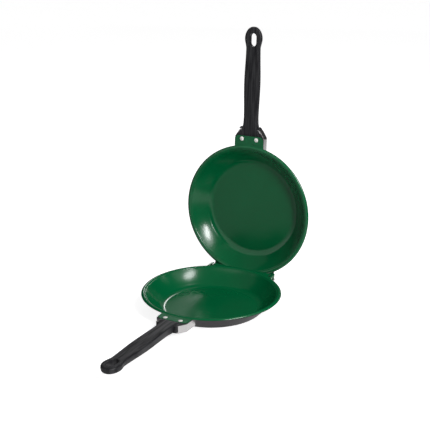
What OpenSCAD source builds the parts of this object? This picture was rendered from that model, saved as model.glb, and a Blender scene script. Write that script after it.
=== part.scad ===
// Double sided flip pan: two round shallow pans on one hinge, each with its own long handle.
// The lower pan stands on its flat base. The upper pan stands open on the hinge's stop tongue.
// Everything is modelled in one pan's own frame: origin at the centre of its base, +Z up to the
// rim, +Y to the hinge and -Y along the handle. The upper pan is that frame turned over and opened.

/* [Pans] */
// Diameter over the rim bead
rim_d = 190; // [170:1:220]
// Height from the base to the top of the bead
pan_h = 24.5; // [20:0.5:34]
// Diameter of the flat floor
floor_d = 130; // [110:1:140]
// Radius between floor and wall, on the cooking side
floor_round = 7; // [4:0.5:9]
// Thickness of the aluminium sheet
sheet_t = 1.6; // [1.2:0.1:2.2]
// Thickness of the non-stick lining
lining_t = 0.2; // [0.15:0.05:0.3]
// Width of the raised bead around the rim
bead_w = 6; // [5:0.5:8]
// Height of the bead's crown above its edges
bead_h = 0.9; // [0.6:0.1:1.2]
// Height of the bead's outer edge
edge_h = 1.5; // [1.2:0.1:2.5]
// Radius where the wall turns into the bead
lip_round = 1.2; // [0.8:0.1:1.6]

/* [Handle tab] */
// Width of the tab that carries the handle
tab_w = 44; // [40:1:52]
// How far the tab reaches past the rim
tab_reach = 13.3; // [11:0.1:16]
// Size of the clipped tab corners
tab_clip = 4; // [2:0.5:6]
// Drop of both tabs below the top of the bead
tab_drop = 1; // [1:0.1:1.5]
// Distance between the two rivets
rivet_pitch = 22.2; // [18:0.2:26]
// Distance from the rivets to the tab's end
rivet_edge = 4.5; // [4:0.1:6]
// Diameter of the rivet heads
rivet_head_d = 6; // [5:0.1:7]
// Height of the rivet domes
rivet_head_h = 1; // [0.6:0.1:1.2]
// Diameter of the rivet shanks
rivet_shank_d = 3.2; // [2.4:0.1:4]
// Diameter of the closed rivet ends under the saddle plate
rivet_tail_d = 5.1; // [4.4:0.1:6]
// Height of the closed rivet ends under the saddle plate
rivet_tail_h = 0.9; // [0.6:0.1:1.2]

/* [Strap and saddle] */
// Height of the steel strap, which stands on edge
strap_h = 10.6; // [9:0.1:13]
// Thickness of the steel strap
strap_t = 1.5; // [1:0.1:2]
// Distance from the tab's end to the collar that the strap clamps
strap_reach = 9.9; // [8.5:0.1:12]
// Width over the strap's legs
strap_w = 44.6; // [40:0.2:48]
// Width of the strap's flat middle, between its bends
strap_flat = 29; // [24:0.5:32]
// Bend radius of the strap, on its centre line
strap_bend = 5; // [3:0.5:7]
// Distance from the tab's end to where the legs start to close in
strap_taper = 1.8; // [0:0.1:3]
// Thickness of the saddle plate under the tab
saddle_t = 1.5; // [1:0.1:2]
// Length of the saddle plate's full width, back from the taper
saddle_len = 10; // [8:0.5:11]

/* [Handle] */
// Length from the tab's end to the tip of the loop
grip_len = 150.2; // [130:0.5:180]
// Thickness of the grip
grip_t = 12; // [11.5:0.1:14]
// Drop of the grip's flat top below the top of the bead
grip_drop = 0.5; // [0.5:0.1:0.8]
// Narrow width behind the collar
grip_root_w = 18.8; // [16:0.2:20]
// Width at the middle of the grip
grip_mid_w = 22.4; // [20:0.2:26]
// Narrow width before the loop
grip_neck_w = 18.6; // [16:0.2:22]
// Width of the loop
loop_w = 26; // [24:0.2:30]
// Distance from the loop's widest place to the tip
loop_tip = 14.8; // [14:0.2:18]
// Width of the hanging hole
hole_w = 12; // [10:0.2:13]
// Length of the hanging hole
hole_len = 19; // [16:0.5:22]
// Distance from the tip of the loop to the hanging hole
hole_edge = 8.2; // [7.5:0.1:9]
// Radius of the grip's top edges
grip_top_round = 2; // [1:0.2:3]
// Radius of the grip's bottom edges
grip_bottom_round = 4; // [2:0.2:5]
// Width of the collar at the grip's root
collar_w = 35; // [32:0.5:36]
// Thickness of the collar
collar_t = 2.8; // [2:0.1:4]
// Depth of the collar's lower edge below the top of the bead
collar_drop = 14.2; // [13.6:0.1:16]
// Width of the flared top at the tab
flare_w = 35.2; // [30:0.2:38]
// Thickness of the flared top
flare_t = 2; // [1.6:0.1:2]
// Length of the flare along the handle
flare_len = 18.3; // [16:0.1:22]
// Diameter of the handle screw
screw_d = 4; // [3:0.1:5]
// Length of the screw under its head
screw_len = 17; // [15:0.5:19]
// Diameter of the screw head
screw_head_d = 7; // [6:0.1:7.2]
// Height of the screw head
screw_head_h = 2.5; // [2:0.1:3]
// Thickness of the spring washer
washer_t = 1; // [0.8:0.1:1.2]
// Outside diameter of the threaded insert
insert_d = 6.4; // [6:0.1:7]
// Length of the threaded insert
insert_len = 12; // [8:0.5:13]

/* [Hinge] */
// Opening angle of the upper pan, measured from closed
open_angle = 93.2; // [0:0.1:93.2]
// Distance between the two beads when the pans are closed
close_gap = 0.8; // [0.8:0.1:1.2]
// Distance of the hinge rod inside the rim's far edge
rod_inset = 4.2; // [4:0.1:4.2]
// Depth of the hinge rod below the top of the lower bead
rod_drop = 7.5; // [7.3:0.1:8]
// Diameter of the hinge rod
rod_d = 3; // [2.5:0.1:3.5]
// Radial clearance of the rod in the ears
rod_fit = 0.07; // [0.03:0.01:0.1]
// Radius of the ears around the rod
ear_r = 4; // [3.5:0.1:4.5]
// Width over the lower pan's ears
hinge_w = 101; // [96:0.5:106]
// Side gap between neighbouring ears and notch walls
ear_gap = 0.3; // [0.3:0.05:0.4]
// Gap between an upper ear and the lower ear next to it
ear_space = 1.8; // [1.5:0.1:2.5]
// How far the lower ears reach behind the rod
lower_ear_reach = 8; // [7:0.1:8.4]
// How far the upper tab and ears reach behind the rod
upper_ear_reach = 6; // [5:0.1:6.2]
// How far the upper ears reach in front of the rod
upper_ear_front = 6.3; // [5.6:0.1:6.4]
// Width of the tongue that stops the opening
stop_w = 44; // [30:1:50]
// Gap between the tongue and the closed path of the upper bead
stop_gap = 0.4; // [0.35:0.05:0.5]
// Depth of the tongue below the rod
stop_drop = 5; // [3:0.5:6]
// Diameter of the caps on the rod's ends
cap_d = 6; // [5:0.1:7]
// Length of the caps
cap_len = 2.4; // [2:0.1:3]

/* [Hidden] */
$fn = 96;

// colours of the photographed finishes
green = [0.02, 0.36, 0.2];
dark_coat = [0.26, 0.26, 0.27];
phenolic = [0.2, 0.2, 0.2];
bright_steel = [0.82, 0.82, 0.84];
black_steel = [0.1, 0.1, 0.1];
rivet_metal = [0.9, 0.9, 0.88];
brass = [0.75, 0.6, 0.3];

eps = 0.01;
overrun = 1;            // how far a cut runs past a face
arc_steps = 8;          // straight pieces in a rounded stretch
blend_steps = 10;       // straight pieces in a change of width

// pan section, in [radius, height]
rim_r = rim_d / 2;
floor_r = floor_d / 2;
skin_t = sheet_t + lining_t;
bead_in_r = rim_r - bead_w;
bead_c_r = rim_r - bead_w / 2;
bead_foot_z = pan_h - bead_h;
edge_z = bead_foot_z - edge_h;
bead_round = (pow(bead_w / 2, 2) + pow(bead_h, 2)) / (2 * bead_h);
bead_sweep = asin(bead_w / 2 / bead_round);
floor_c = [floor_r, skin_t + floor_round];
lip_c = [bead_in_r, bead_foot_z - lip_round];
lip_run = lip_c - floor_c;
wall_angle = atan2(lip_run.y, lip_run.x) + asin((floor_round + lip_round) / norm(lip_run));

// both tabs
tab_top_z = pan_h - tab_drop;
tab_sheet_top_z = tab_top_z - lining_t;
tab_under_z = tab_sheet_top_z - sheet_t;
tab_root_r = bead_c_r;              // the tabs merge with the bead outside this radius
tab_end_y = -(rim_r + tab_reach);
rivet_y = tab_end_y + rivet_edge;
rivet_hole_fit = 0.05;

// saddle plate and strap under the handle tab
saddle_under_z = tab_under_z - saddle_t;
strap_under_z = tab_under_z - strap_h;
strap_leg_x = (strap_w - strap_t) / 2;
strap_turn_y = tab_end_y + strap_taper;
collar_front_y = tab_end_y - strap_reach;
strap_mid_y = collar_front_y + strap_t / 2;
strap_front_y = collar_front_y + strap_t;
saddle_gap = 0.2;                   // between saddle plate and strap

// grip
grip_top_z = pan_h - grip_drop;
grip_tip_y = tab_end_y - grip_len;
collar_back_y = collar_front_y - collar_t;
flare_gap = 0.4;                    // between the tab's end and the flare
flare_step = 0.05;
flare_front_y = tab_end_y - flare_gap;
loop_wide_y = grip_tip_y + loop_tip;
loop_neck_run = 16;                 // length of the blend from neck to loop
grip_root_run = 12;                 // the root stays narrow this far behind the collar
grip_swell_run = 46;                // from there to the widest place
collar_round = 4;
collar_lap = 0.5;                   // the collar reaches this far up into the flare
collar_top_drop = grip_drop + flare_t - collar_lap;

// handle screw
screw_z = strap_under_z + strap_h / 2;
screw_fit = 0.2;                    // radial, in the strap and the collar
thread_fit = 0.05;                  // radial, in the insert
insert_fit = 0.02;                  // radial, between insert and grip
insert_inset = 1.2;                 // grip material in front of the insert
insert_front_y = collar_front_y - insert_inset;
screw_seat_y = strap_front_y + washer_t;
screw_tip_y = screw_seat_y - screw_len;
screw_well = 1.5;                   // free depth behind screw and insert
recess_r = 1.6;                     // cross recess in the screw head
recess_w = 0.8;
recess_depth = 1.2;
washer_split = 0.8;

// hinge, still in the lower pan's frame
rod_y = rim_r - rod_inset;
rod_z = pan_h - rod_drop;
lower_ear_out_x = hinge_w / 2;
lower_ear_in_x = lower_ear_out_x - sheet_t;
upper_ear_out_x = lower_ear_in_x - ear_space;
upper_ear_in_x = upper_ear_out_x - sheet_t;
notch_in_x = upper_ear_in_x - ear_gap;
notch_out_x = upper_ear_out_x + ear_gap;
notch_front_y = rod_y - upper_ear_front - ear_gap * 2;
upper_ear_c_z = pan_h + close_gap + rod_drop;
lid_path_r = rod_drop + close_gap;          // distance of the upper bead's crown from the rod
stop_r = lid_path_r - stop_gap;             // largest radius free of the upper bead
lower_tab_rise = rod_drop - tab_drop;       // height of the lower tab's top above the rod
lower_tab_reach = sqrt(pow(stop_r, 2) - pow(lower_tab_rise, 2));
tab_lap = 19;                               // the tabs' outlines start this far inside the rim
tab_inner_y = rim_r - tab_lap;
ear_clip = 4;
cap_gap = 0.1;
cap_wall = 0.6;
cap_fit = 0.02;                     // radial, between cap and rod
rod_end_x = lower_ear_out_x + cap_gap + cap_len - cap_wall;

function unit(v) = v / norm(v);

function arc(centre, radius, from, to, steps = arc_steps) = [
    for (i = [0:steps])
        let (a = from + (to - from) * i / steps)
            centre + radius * [cos(a), sin(a)]
];

// the cooking side of the wall, moved down into the sheet by depth
function floor_arc(depth) =
    arc(floor_c, floor_round + depth, -90, wall_angle - 90);
function lip_arc(depth) =
    arc(lip_c, lip_round - depth, 90 + wall_angle, 90);
function bead_arc(depth) =
    arc([bead_c_r, pan_h - bead_round], bead_round - depth, 90 + bead_sweep, 90 - bead_sweep);
function cooking_side(depth) = concat(
    [[0, skin_t - depth]], floor_arc(depth), lip_arc(depth), bead_arc(depth),
    [[rim_r - depth, bead_foot_z - depth], [rim_r - depth, edge_z]]
);

// radius of the wall's outside at a height
function wall_out_r(z) =
    let (foot = floor_c + (floor_round + skin_t) * [sin(wall_angle), -cos(wall_angle)])
        foot.x + (z - foot.y) / tan(wall_angle);

function reversed(list) = [for (i = [len(list) - 1:-1:0]) list[i]];

// rounded corner at p between a and b
function bend(a, p, b, radius) =
    let (
        u = unit(a - p),
        v = unit(b - p),
        half = acos(u * v) / 2,
        c = p + unit(u + v) * radius / sin(half),
        s = p + u * radius / tan(half) - c,
        e = p + v * radius / tan(half) - c,
        from = atan2(s.y, s.x),
        swing = (atan2(e.y, e.x) - from + 540) % 360 - 180
    )
    arc(c, radius, from, from + swing);

// mitred normal of a path at point i
function path_normal(path, i) =
    let (
        before = unit(path[max(i, 1)] - path[max(i, 1) - 1]),
        last = len(path) - 1,
        after = unit(path[min(i, last - 1) + 1] - path[min(i, last - 1)]),
        t = unit(before + after)
    )
    [-t.y, t.x] / (t * before);

function moved_path(path, by) =
    [for (i = [0:len(path) - 1]) path[i] + path_normal(path, i) * by];

function mirrored_path(path) = concat(path, reversed([for (p = path) [-p.x, p.y]]));

// half width of the grip between two stations, with flat ends to the curve
function blend(y0, w0, y1, w1) = [
    for (i = [1:blend_steps])
        let (t = i / blend_steps)
            [w0 + (w1 - w0) * (1 - cos(180 * t)) / 2, y0 + (y1 - y0) * t]
];

grip_neck_y = loop_wide_y + loop_neck_run;
grip_narrow_y = collar_back_y - grip_root_run;
grip_swell_y = grip_narrow_y - grip_swell_run;
flare_back_y = flare_front_y - flare_len;
grip_side = concat(
    [[grip_root_w / 2, collar_back_y], [grip_root_w / 2, grip_narrow_y]],
    blend(grip_narrow_y, grip_root_w / 2, grip_swell_y, grip_mid_w / 2),
    blend(grip_swell_y, grip_mid_w / 2, grip_neck_y, grip_neck_w / 2),
    blend(grip_neck_y, grip_neck_w / 2, loop_wide_y, loop_w / 2),
    [for (i = [1:blend_steps - 1])
        let (a = 90 * i / blend_steps)
            [loop_w / 2 * cos(a), loop_wide_y - loop_tip * sin(a)]]
);
grip_outline = concat(
    grip_side, [[0, grip_tip_y]], reversed([for (p = grip_side) [-p.x, p.y]])
);

// rings of the grip as [height, inset], from the bottom to the top
grip_mid_line = grip_t / 2;
grip_draft = 0.3;
round_steps = 4;
grip_rings = concat(
    [for (i = [0:round_steps])
        let (a = 90 * i / round_steps, r = grip_bottom_round)
            [r * (1 - cos(a)), r * (1 - sin(a)) + grip_draft]],
    [[grip_mid_line, 0]],
    [for (i = [0:round_steps])
        let (a = 90 * (1 - i / round_steps), r = grip_top_round)
            [grip_t - r * (1 - cos(a)), r * (1 - sin(a)) + grip_draft]]
);

// keeps the root's end face flat while the sides move in
function grip_ring(ring) =
    let (last = len(grip_outline) - 1)
    [for (i = [0:last])
        let (
            p = grip_outline[i],
            n = i == 0 ? [1, 0] : i == last ? [-1, 0] : path_normal(grip_outline, i)
        )
        [p.x - n.x * ring[1], p.y - n.y * ring[1], grip_top_z - grip_t + ring[0]]];

module grip_body() {
    count = len(grip_outline);
    rings = len(grip_rings);
    points = [for (ring = grip_rings) each grip_ring(ring)];
    sides = [
        for (k = [0:rings - 2])
            for (i = [0:count - 1])
                let (j = (i + 1) % count, a = k * count, b = (k + 1) * count)
                    [a + i, a + j, b + j, b + i]
    ];
    caps = [
        [for (i = [count - 1:-1:0]) i],
        [for (i = [0:count - 1]) (rings - 1) * count + i]
    ];
    polyhedron(points, concat(sides, caps));
}

// the solid inside the pan's outside surface, up to the rim
module pan_envelope() {
    rotate_extrude()
        polygon(concat(
            [[0, 0]],
            arc(floor_c, floor_round + skin_t, -90, wall_angle - 90),
            [[wall_out_r(edge_z), edge_z], [rim_r, edge_z], [rim_r, pan_h], [0, pan_h]]
        ));
}

module pan_shell() {
    rotate_extrude()
        polygon(concat(
            [[0, 0]],
            arc(floor_c, floor_round + skin_t, -90, wall_angle - 90),
            [[wall_out_r(edge_z), edge_z]],
            reversed(cooking_side(lining_t))
        ));
}

module handle_tab_2d() {
    half = tab_w / 2;
    polygon(mirrored_path([
        [half, -tab_inner_y], [half, tab_end_y + tab_clip], [half - tab_clip, tab_end_y]
    ]));
}

// plate of the lower hinge tab, notched for the upper ears
module lower_hinge_tab_2d() {
    ear_end_y = rod_y + lower_ear_reach;
    polygon(mirrored_path([
        [lower_ear_out_x, tab_inner_y], [lower_ear_out_x, ear_end_y - ear_clip / 2],
        [lower_ear_out_x - ear_clip / 2, ear_end_y], [notch_out_x, ear_end_y],
        [notch_out_x, notch_front_y], [notch_in_x, notch_front_y],
        [notch_in_x, rod_y + lower_tab_reach]
    ]));
}

module upper_hinge_tab_2d(half_w) {
    polygon(mirrored_path([
        [half_w, tab_inner_y], [half_w, rod_y + upper_ear_reach]
    ]));
}

// turned ear in the plane of the pan's side: root from y0 to y1 at root_z, eye on the rod
module ear(x, y0, y1, root_z, eye_z) {
    for (side = [-1, 1])
        scale([side, 1, 1])
            translate([x, 0, 0])
                rotate([90, 0, 90])
                    linear_extrude(sheet_t)
                        difference() {
                            union() {
                                translate([rod_y, eye_z])
                                    circle(ear_r);
                                polygon([
                                    [y0, root_z], [y1, root_z],
                                    [rod_y + ear_r, eye_z], [rod_y - ear_r, eye_z]
                                ]);
                            }
                            translate([rod_y, eye_z])
                                circle(rod_d / 2 + rod_fit);
                        }
}

// tongue that turns down from the lower tab and follows the upper bead's path round the rod
module stop_tongue() {
    from = asin((lower_tab_rise - lining_t) / stop_r);
    translate([-stop_w / 2, 0, 0])
        rotate([90, 0, 90])
            linear_extrude(stop_w)
                translate([rod_y, rod_z])
                    polygon(concat(
                        arc([0, 0], stop_r, from, 0),
                        [[stop_r, -stop_drop], [stop_r - skin_t, -stop_drop]],
                        arc([0, 0], stop_r - skin_t, 0, from)
                    ));
}

module rivet_holes() {
    for (side = [-1, 1])
        translate([side * rivet_pitch / 2, rivet_y, saddle_under_z - overrun])
            cylinder(d = rivet_shank_d + 2 * rivet_hole_fit, h = pan_h);
}

// sheet of a tab whose outline is the child
module tab_sheet() {
    difference() {
        translate([0, 0, tab_under_z])
            linear_extrude(sheet_t)
                children();
        cylinder(r = tab_root_r, h = pan_h);
    }
}

module pan_sheet() {
    difference() {
        union() {
            pan_shell();
            tab_sheet()
                handle_tab_2d();
            children();
        }
        rivet_holes();
    }
}

module lining_sheet() {
    difference() {
        union() {
            rotate_extrude()
                polygon(concat(cooking_side(0), reversed(cooking_side(lining_t))));
            difference() {
                translate([0, 0, tab_sheet_top_z])
                    linear_extrude(lining_t)
                        union() {
                            handle_tab_2d();
                            children(0);
                        }
                cylinder(r = rim_r - lining_t, h = pan_h);
            }
        }
        // the bead's outer edge is bare where the sheet runs on into the tabs
        difference() {
            translate([0, 0, edge_z - overrun])
                linear_extrude(tab_sheet_top_z - edge_z + overrun)
                    union() {
                        handle_tab_2d();
                        children(1);
                    }
            cylinder(r = tab_root_r, h = pan_h);
        }
        rivet_holes();
    }
}

module saddle_plate() {
    strap_in_x = strap_w / 2 - strap_t - saddle_gap;
    strap_in_y = strap_front_y + saddle_gap;
    difference() {
        translate([0, 0, saddle_under_z])
            linear_extrude(saddle_t)
                polygon(mirrored_path([
                    [strap_in_x, strap_turn_y + saddle_len],
                    [strap_in_x, strap_turn_y + strap_t],
                    [strap_flat / 2 - strap_t, strap_in_y]
                ]));
        rivet_holes();
    }
}

module strap() {
    corner = [strap_leg_x, strap_turn_y];
    flat_end = [strap_flat / 2, strap_mid_y];
    leg_end = [strap_leg_x, -floor_r];
    half_path = concat(
        [leg_end],
        bend(leg_end, corner, flat_end, strap_bend),
        bend(corner, flat_end, [0, strap_mid_y], strap_bend)
    );
    path = mirrored_path(half_path);
    difference() {
        translate([0, 0, strap_under_z])
            linear_extrude(strap_h)
                polygon(concat(
                    moved_path(path, strap_t / 2), reversed(moved_path(path, -strap_t / 2))
                ));
        pan_envelope();
        screw_axis(strap_front_y + overrun)
            cylinder(d = screw_d + 2 * screw_fit, h = strap_t + 2 * overrun);
    }
}

// places a child with its +Z along the screw, towards the grip's tip, starting at y
module screw_axis(y) {
    translate([0, y, screw_z])
        rotate([90, 0, 0])
            children();
}

module tab_rivets() {
    dome_r = (pow(rivet_head_d / 2, 2) + pow(rivet_head_h, 2)) / (2 * rivet_head_h);
    dome_angle = asin(rivet_head_d / 2 / dome_r);
    for (side = [-1, 1])
        translate([side * rivet_pitch / 2, rivet_y, 0]) {
            translate([0, 0, tab_top_z])
                rotate_extrude()
                    polygon(concat(
                        [[0, 0]],
                        arc([0, rivet_head_h - dome_r], dome_r, 90 - dome_angle, 90)
                    ));
            translate([0, 0, saddle_under_z - rivet_tail_h])
                cylinder(d = rivet_tail_d, h = rivet_tail_h);
            translate([0, 0, saddle_under_z - eps])
                cylinder(d = rivet_shank_d, h = tab_top_z - saddle_under_z + 2 * eps);
        }
}

// collar plate across the handle behind the strap, with round lower corners
module collar() {
    half = collar_w / 2;
    translate([0, collar_back_y, pan_h])
        rotate([90, 0, 180])
            linear_extrude(collar_t)
                polygon(mirrored_path(concat(
                    [[half, -collar_top_drop]],
                    arc([half - collar_round, -collar_drop + collar_round], collar_round, 0, -90)
                )));
}

module grip() {
    difference() {
        union() {
            grip_body();
            // flared top that meets the tab, a hair below the grip's top
            translate([0, 0, grip_top_z - flare_t])
                linear_extrude(flare_t - flare_step)
                    polygon(mirrored_path([
                        [flare_w / 2, flare_front_y], [grip_root_w / 2 - grip_top_round, flare_back_y]
                    ]));
            collar();
        }
        hanging_hole();
        screw_axis(insert_front_y)
            cylinder(d = insert_d + 2 * insert_fit, h = insert_len);
        screw_axis(collar_front_y + overrun)
            cylinder(
                d = screw_d + 2 * screw_fit,
                h = collar_front_y + overrun - screw_tip_y + screw_well
            );
    }
}

// long hole through the loop
module hanging_hole() {
    half_run = (hole_len - hole_w) / 2;
    translate([0, grip_tip_y + hole_edge + hole_len / 2, grip_top_z - grip_t - overrun])
        linear_extrude(grip_t + 2 * overrun)
            union() {
                for (side = [-1, 1])
                    translate([0, side * half_run])
                        circle(d = hole_w);
                square([hole_w, 2 * half_run], center = true);
            }
}

module screw() {
    difference() {
        union() {
            screw_axis(screw_seat_y + screw_head_h)
                cylinder(d = screw_head_d, h = screw_head_h);
            screw_axis(screw_seat_y + eps)
                cylinder(d = screw_d, h = screw_len + eps);
        }
        screw_axis(screw_seat_y + screw_head_h)
            for (turn = [0, 90])
                rotate([0, 0, turn])
                    cube([2 * recess_r, recess_w, 2 * recess_depth], center = true);
    }
}

module spring_washer() {
    difference() {
        screw_axis(screw_seat_y)
            cylinder(d = screw_head_d, h = washer_t);
        screw_axis(screw_seat_y + overrun)
            cylinder(d = screw_d + 2 * screw_fit, h = washer_t + 2 * overrun);
        screw_axis(screw_seat_y)
            translate([0, -washer_split / 2, -overrun])
                cube([screw_head_d, washer_split, washer_t + 2 * overrun]);
    }
}

module insert() {
    difference() {
        screw_axis(insert_front_y)
            cylinder(d = insert_d, h = insert_len);
        screw_axis(insert_front_y + overrun)
            cylinder(d = screw_d + 2 * thread_fit, h = insert_len + 2 * overrun);
    }
}

// turns a closed upper pan, drawn in the pan frame, over the lower one and opens it
module as_lid() {
    translate([0, rod_y, rod_z])
        rotate([-open_angle, 0, 0])
            translate([0, -rod_y, 2 * pan_h + close_gap - rod_z])
                mirror([0, 0, 1])
                    children();
}

module lower_pan() {
    color(dark_coat)
        pan_sheet() {
            tab_sheet()
                lower_hinge_tab_2d();
            ear(lower_ear_in_x, notch_front_y, rod_y + lower_ear_reach - ear_clip / 2,
                tab_under_z + eps, rod_z);
            stop_tongue();
        }
}

module upper_pan() {
    color(dark_coat)
        as_lid()
            pan_sheet() {
                tab_sheet()
                    upper_hinge_tab_2d(upper_ear_out_x);
                ear(upper_ear_in_x, rod_y - upper_ear_front, rod_y + upper_ear_reach,
                    tab_sheet_top_z - eps, upper_ear_c_z);
            }
}

module lower_lining() {
    color(green)
        lining_sheet() {
            lower_hinge_tab_2d();
            lower_hinge_tab_2d();
        }
}

module upper_lining() {
    color(green)
        as_lid()
            lining_sheet() {
                upper_hinge_tab_2d(upper_ear_in_x);
                upper_hinge_tab_2d(upper_ear_out_x);
            }
}

module lower_saddle() {
    color(black_steel) saddle_plate();
}

module upper_saddle() {
    color(black_steel) as_lid() saddle_plate();
}

module lower_strap() {
    color(bright_steel) strap();
}

module upper_strap() {
    color(bright_steel) as_lid() strap();
}

module lower_tab_rivets() {
    color(rivet_metal) tab_rivets();
}

module upper_tab_rivets() {
    color(rivet_metal) as_lid() tab_rivets();
}

module lower_grip() {
    color(phenolic) grip();
}

module upper_grip() {
    color(phenolic) as_lid() grip();
}

module lower_screw() {
    color(bright_steel) screw();
}

module upper_screw() {
    color(bright_steel) as_lid() screw();
}

module lower_spring_washer() {
    color(bright_steel) spring_washer();
}

module upper_spring_washer() {
    color(bright_steel) as_lid() spring_washer();
}

module lower_insert() {
    color(brass) insert();
}

module upper_insert() {
    color(brass) as_lid() insert();
}

module hinge_rod() {
    color(bright_steel)
        translate([-rod_end_x, rod_y, rod_z])
            rotate([0, 90, 0])
                cylinder(d = rod_d, h = 2 * rod_end_x);
}

module hinge_rod_caps() {
    color(bright_steel)
        for (side = [-1, 1])
            scale([side, 1, 1])
                translate([lower_ear_out_x + cap_gap, rod_y, rod_z])
                    rotate([0, 90, 0])
                        difference() {
                            cylinder(d1 = cap_d, d2 = cap_d - cap_wall, h = cap_len);
                            translate([0, 0, -overrun])
                                cylinder(d = rod_d + 2 * cap_fit, h = cap_len - cap_wall + overrun);
                        }
}

lower_pan();
lower_lining();
lower_saddle();
lower_strap();
lower_tab_rivets();
lower_grip();
lower_screw();
lower_spring_washer();
lower_insert();
upper_pan();
upper_lining();
upper_saddle();
upper_strap();
upper_tab_rivets();
upper_grip();
upper_screw();
upper_spring_washer();
upper_insert();
hinge_rod();
hinge_rod_caps();
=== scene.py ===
from math import acos, asin, atan2, cos, degrees, hypot, pi, radians, sin, tan

import bmesh
import bpy
from bpy.props import FloatProperty, FloatVectorProperty, PointerProperty
from bpy.types import NodeSocket, Operator, Panel, PropertyGroup
from mathutils import Matrix, Vector


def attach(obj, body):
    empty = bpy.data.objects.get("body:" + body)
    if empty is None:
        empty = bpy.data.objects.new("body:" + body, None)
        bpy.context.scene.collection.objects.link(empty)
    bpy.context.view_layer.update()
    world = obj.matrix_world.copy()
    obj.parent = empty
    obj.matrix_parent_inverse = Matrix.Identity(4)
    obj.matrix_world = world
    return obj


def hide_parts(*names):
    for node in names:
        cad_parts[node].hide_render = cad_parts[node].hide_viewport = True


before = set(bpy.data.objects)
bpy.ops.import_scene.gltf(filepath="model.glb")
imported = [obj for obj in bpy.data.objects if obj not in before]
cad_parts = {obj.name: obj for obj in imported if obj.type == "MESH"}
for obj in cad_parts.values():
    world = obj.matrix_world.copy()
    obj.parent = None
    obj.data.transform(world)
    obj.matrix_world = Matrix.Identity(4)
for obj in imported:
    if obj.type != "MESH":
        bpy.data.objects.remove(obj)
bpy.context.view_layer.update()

bl_info = {
    "name": "Flip pan",
    "version": (1, 0, 0),
    "blender": (4, 5, 0),
    "location": "View3D > Sidebar > Flip pan",
    "description": "Dresses the two hinged pans, their handles and the studio around them",
    "category": "Add Mesh",
}

MM = 0.001
TURN = 2 * pi
BODIES = {"lower": "lower", "upper": "lid"}
# steps of a full turn: the pans, the rivets and hinge parts, and the screws and holes
PAN_STEPS, ROD_STEPS, HOLE_STEPS = 192, 40, 32
ALONG_X = Matrix.Rotation(pi / 2, 4, "Y")
ALONG_Y = Matrix.Rotation(-pi / 2, 4, "X")
AGAINST_Y = Matrix.Rotation(pi / 2, 4, "X")

# the camera solved on both rims of the photograph, in degrees, millimetres and pixels
AZIMUTH, ELEVATION, ROLL = 27.7686, 18.3470, 0.1814
DISTANCE, SHIFT_X, SHIFT_Y = 1325.4855, -5.0729, -102.3055
FOCAL_PX, PHOTO_SIZE_PX = 976.47, 430

# small sizes of the making, which the pieces share
RIVET_HOLE_R = 1.65 * MM
SCREW_HOLE_R = 2.2 * MM
HANDLE_TAB_ROOT = 12 * MM      # how far the tabs' plates reach in under the rim
HINGE_TAB_ROOT = 22 * MM
EAR_CLIP = 2 * MM              # clipped corner at the end of the lower ears
TAB_CORNER = 0.45 * MM         # rounding of the tabs' upright edges
SHEET_ROUND = 0.3 * MM         # rounding of bare sheet edges
ROD_PLAY = 0.07 * MM           # between the rod and the ears' holes
STRAP_BEND = 5 * MM            # bend radius on the strap's centre line
STRAP_FOOT_Y = -85.3 * MM      # the upright end of the strap's legs, whose top the wall trims
SADDLE_T = 1.5 * MM
CAP_PLAY = 0.1 * MM            # between the lower ears and the caps
NEAR = 1e-5                    # a level counts as met within this


def length(name, description, mm):
    """A size in millimetres, kept in metres."""
    return FloatProperty(name=name, description=description, default=mm * MM, unit="LENGTH",
                         precision=5)


def from_axis(name, place, mm):
    return length(name, "From the pan's axis to " + place, mm)


def angle(name, description, turn):
    return FloatProperty(name=name, description=description, default=radians(turn),
                         unit="ROTATION")


def tint(name, description, code):
    """A colour given as sRGB hex and kept linear."""
    return FloatVectorProperty(name=name, description=description, default=linear(code),
                               subtype="COLOR", size=3, min=0, max=1)


def linear(code):
    """Linear red, green and blue of an sRGB hex colour."""
    parts = [int(code[i:i + 2], 16) / 255 for i in (0, 2, 4)]
    return tuple(c / 12.92 if c <= 0.04045 else ((c + 0.055) / 1.055) ** 2.4 for c in parts)


class PanSizes(PropertyGroup):
    rim_r: length("Rim radius", "Radius over the rim bead", 95)
    height: length("Height", "From the base to the top of the bead", 24.5)
    floor_r: length("Floor radius", "Radius of the flat floor", 65)
    floor_round: length("Floor rounding", "Radius between floor and wall", 7)
    inner_round: length("Inner rounding", "Radius between floor and wall on the cooking side", 15)
    wall_bow: length("Wall bow", "Depth of the hollow in the cooking side's wall", 0.6)
    lip_round: length("Lip rounding", "Radius where the wall turns into the bead", 1.2)
    bead_w: length("Bead width", "Width of the raised bead", 6)
    bead_h: length("Bead height", "Crown of the bead above its edges", 1.6)
    edge_h: length("Edge height", "Height of the bead's outer edge", 0.8)
    edge_round: length("Edge rounding", "Radius of the bead's outer edge", 1.2)
    wall_t: length("Wall", "Thickness of the sheet with its coating", 1.8)
    skin_t: length("Skin", "Depth of the green coating where it wraps an edge", 0.4)
    bare_h: length("Bare edge", "Height of the uncoated band under the bead", 0.7)
    tab_drop: length("Tab drop", "Drop of the tabs below the top of the bead", 1)
    tab_t: length("Tab thickness", "Thickness of the tabs with their coating", 1.2)
    tab_half: length("Tab half width", "Half of the handle tab's width", 22)
    tab_end: from_axis("Tab end", "the handle tab's end", 108.3)
    tab_clip: length("Tab clip", "Size of the clipped corners", 4)
    rivet_x: length("Rivet place", "Half the distance between the rivets", 11.1)
    rivet_y: from_axis("Rivet distance", "the rivets", 103.8)
    rivet_r: length("Rivet radius", "Radius of the rivet heads", 3)
    rivet_h: length("Rivet height", "Height of the rivet domes", 1)


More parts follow.
